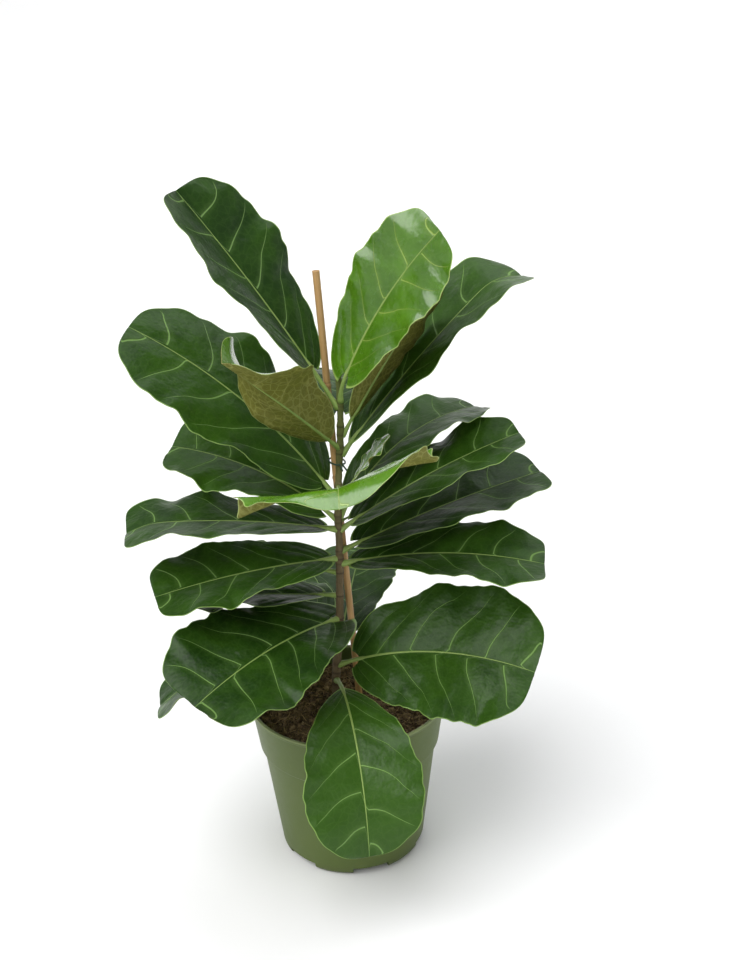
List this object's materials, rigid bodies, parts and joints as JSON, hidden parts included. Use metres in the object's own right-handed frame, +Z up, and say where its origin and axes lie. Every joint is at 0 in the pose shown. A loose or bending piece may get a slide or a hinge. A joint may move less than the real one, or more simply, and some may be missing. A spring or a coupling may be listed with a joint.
{
  "type": "potted fiddle leaf fig",
  "caption": "Young fiddle leaf fig with broad, wavy, pale-veined leaves on a single stem, held to a bamboo stake in a round plastic nursery pot of soil.",
  "frame": {"origin": "centre of the pot's underside, on the surface the pot stands on", "axes": "+Z up along the stem, +Y towards the back of the plant, +X to its right seen from the front"},
  "size_m": [0.4241, 0.3486, 0.7068],
  "materials": {
    "pot_plastic": "satin olive-green moulded plastic",
    "potting_soil": "loose dark potting soil with coarse bits",
    "stem_bark": "thin green-brown bark with leaf scars",
    "bamboo": "smooth dry bamboo",
    "tie_wire": "plastic-coated green wire",
    "leaf_mature": "waxy dark green with pale veins",
    "leaf_young": "glossy bright green with pale veins"
  },
  "bodies": {
    "root": {"pot": "pot_plastic", "soil": "potting_soil", "stem": "stem_bark", "stake": "bamboo", "tie": "tie_wire", "leaf_01": "leaf_mature", "leaf_02": "leaf_mature", "leaf_03": "leaf_mature", "leaf_04": "leaf_mature", "leaf_05": "leaf_mature", "leaf_06": "leaf_mature", "leaf_07": "leaf_mature", "leaf_08": "leaf_mature", "leaf_09": "leaf_mature", "leaf_10": "leaf_mature", "leaf_11": "leaf_mature", "leaf_12": "leaf_mature", "leaf_13": "leaf_mature", "leaf_14": "leaf_mature", "leaf_15": "leaf_mature", "leaf_16": "leaf_mature", "leaf_17": "leaf_young", "leaf_18": "leaf_young", "leaf_19": "leaf_mature", "leaf_20": "leaf_mature", "leaf_21": "leaf_young", "leaf_22": "leaf_young", "leaf_23": "leaf_mature", "leaf_24": "leaf_mature", "leaf_25": "leaf_young"}
  },
  "joints": []
}
